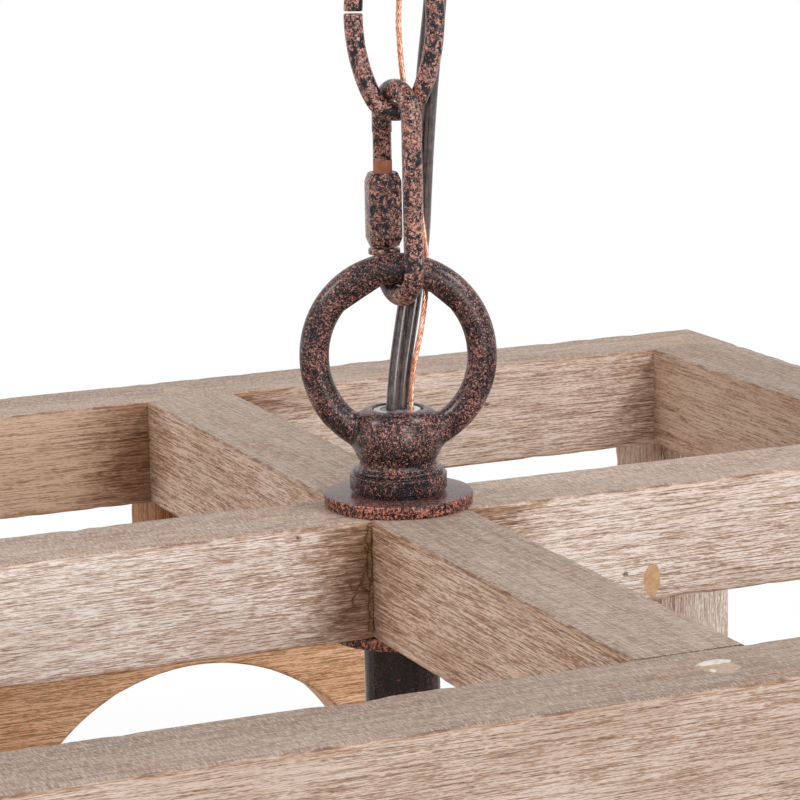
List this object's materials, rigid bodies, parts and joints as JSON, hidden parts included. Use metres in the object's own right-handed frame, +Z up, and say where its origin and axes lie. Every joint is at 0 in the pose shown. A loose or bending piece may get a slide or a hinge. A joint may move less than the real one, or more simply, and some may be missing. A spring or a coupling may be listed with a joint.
{
  "type": "cage lantern pendant light",
  "caption": "Square wooden cage lantern with ringed side panels, hung by a quick link and chain from a ceiling canopy, with candle lights inside.",
  "frame": {"origin": "on the ceiling, in the middle of the mounting strap", "axes": "+Z up; X along the strap and the left-right rail, Y along the front-back rail, front at -Y"},
  "size_m": [0.3, 0.3, 0.4642],
  "materials": {
    "aged_wood": "wire-brushed, greyed and whitewashed",
    "wood_filler": "dry wood putty",
    "plain_wood": "turned, unfinished",
    "plain_steel": "zinc plated",
    "green_screw": "green grounding screw",
    "rusted_iron": "dark bronze with rust specks",
    "rusted_chain": "rust brown with dark blotches",
    "rusted_sheet": "dark bronze with rust specks",
    "candle_plastic": "ivory candle sleeve",
    "socket_plastic": "moulded lampholder",
    "lamp_brass": "lamp screw cap",
    "lamp_glass": "clear blown glass",
    "cord_insulation": "brown two-core cord",
    "bare_copper": "bare copper strand"
  },
  "bodies": {
    "canopy": {"canopy": "rusted_sheet", "ceiling_strap": "plain_steel", "strap_lock_nut": "plain_steel", "ground_screw": "green_screw", "canopy_nipple": "plain_steel", "canopy_washer": "rusted_iron", "canopy_loop": "rusted_iron", "power_cord_canopy": "cord_insulation", "ground_wire_canopy": "bare_copper"},
    "upper_link": {"chain_link_upper": "rusted_chain"},
    "lower_link": {"chain_link_lower": "rusted_chain", "power_cord_chain": "cord_insulation", "ground_wire_chain": "bare_copper"},
    "quick_link": {"quick_link_rod": "rusted_chain", "power_cord_quick_link": "cord_insulation", "ground_wire_quick_link": "bare_copper"},
    "link_nut": {"quick_link_nut": "rusted_chain"},
    "lantern": {"bottom_rail_back": "aged_wood", "bottom_rail_front": "aged_wood", "bottom_rail_left": "aged_wood", "bottom_rail_right": "aged_wood", "candle_sleeves": "candle_plastic", "cast_loop": "rusted_iron", "cluster_cup": "rusted_sheet", "corner_post_back_left": "aged_wood", "corner_post_back_right": "aged_wood", "corner_post_front_left": "aged_wood", "corner_post_front_right": "aged_wood", "cross_nipple": "plain_steel", "cross_rail_dowels": "plain_wood", "cross_rail_front_back": "aged_wood", "cross_rail_left_right": "aged_wood", "cross_washers": "rusted_iron", "cup_cover": "rusted_sheet", "cup_nipple": "plain_steel", "drip_cups": "rusted_sheet", "finial": "rusted_sheet", "frame_screws": "plain_steel", "ground_wire_lantern": "bare_copper", "lamp_caps": "lamp_brass", "lamp_glasses": "lamp_glass", "lamp_sockets": "socket_plastic", "light_arms": "rusted_sheet", "power_cord_lantern": "cord_insulation", "putty_plugs": "wood_filler", "side_ring_back": "aged_wood", "side_ring_front": "aged_wood", "side_ring_left": "aged_wood", "side_ring_right": "aged_wood", "side_spokes_back": "aged_wood", "side_spokes_front": "aged_wood", "side_spokes_left": "aged_wood", "side_spokes_right": "aged_wood", "stem_bushings": "plain_steel", "stem_cord": "cord_insulation", "stem_tube": "rusted_sheet", "top_rail_back": "aged_wood", "top_rail_front": "aged_wood", "top_rail_left": "aged_wood", "top_rail_right": "aged_wood"}
  },
  "joints": [
    {"name": "upper_link_swing", "type": "hinge", "parent": "canopy", "child": "upper_link", "pos_m": [0.00101, -0.00044, -0.0748], "axis": [0.9184, -0.3955, 0], "range_deg": [-15, 15], "deforming": ["power_cord_canopy", "ground_wire_canopy"]},
    {"name": "lower_link_swing", "type": "hinge", "parent": "upper_link", "child": "lower_link", "pos_m": [0.00101, -0.00044, -0.10877], "axis": [0.3955, 0.9184, 0], "range_deg": [-15, 15], "deforming": ["power_cord_chain", "ground_wire_chain"]},
    {"name": "quick_link_swing", "type": "hinge", "parent": "lower_link", "child": "quick_link", "pos_m": [0.00101, -0.00044, -0.14377], "axis": [0.9975, 0.0704, 0], "range_deg": [-15, 15], "deforming": ["power_cord_quick_link", "ground_wire_quick_link"]},
    {"name": "lantern_swing", "type": "hinge", "parent": "quick_link", "child": "lantern", "pos_m": [0.00101, -0.00044, -0.18212], "axis": [0.3955, 0.9184, 0], "range_deg": [-15, 15], "deforming": ["power_cord_lantern", "ground_wire_lantern"]},
    {"name": "link_nut_travel", "type": "slide", "parent": "quick_link", "child": "link_nut", "axis": [0, 0, 1], "range_m": [0, 0.008]}
  ]
}
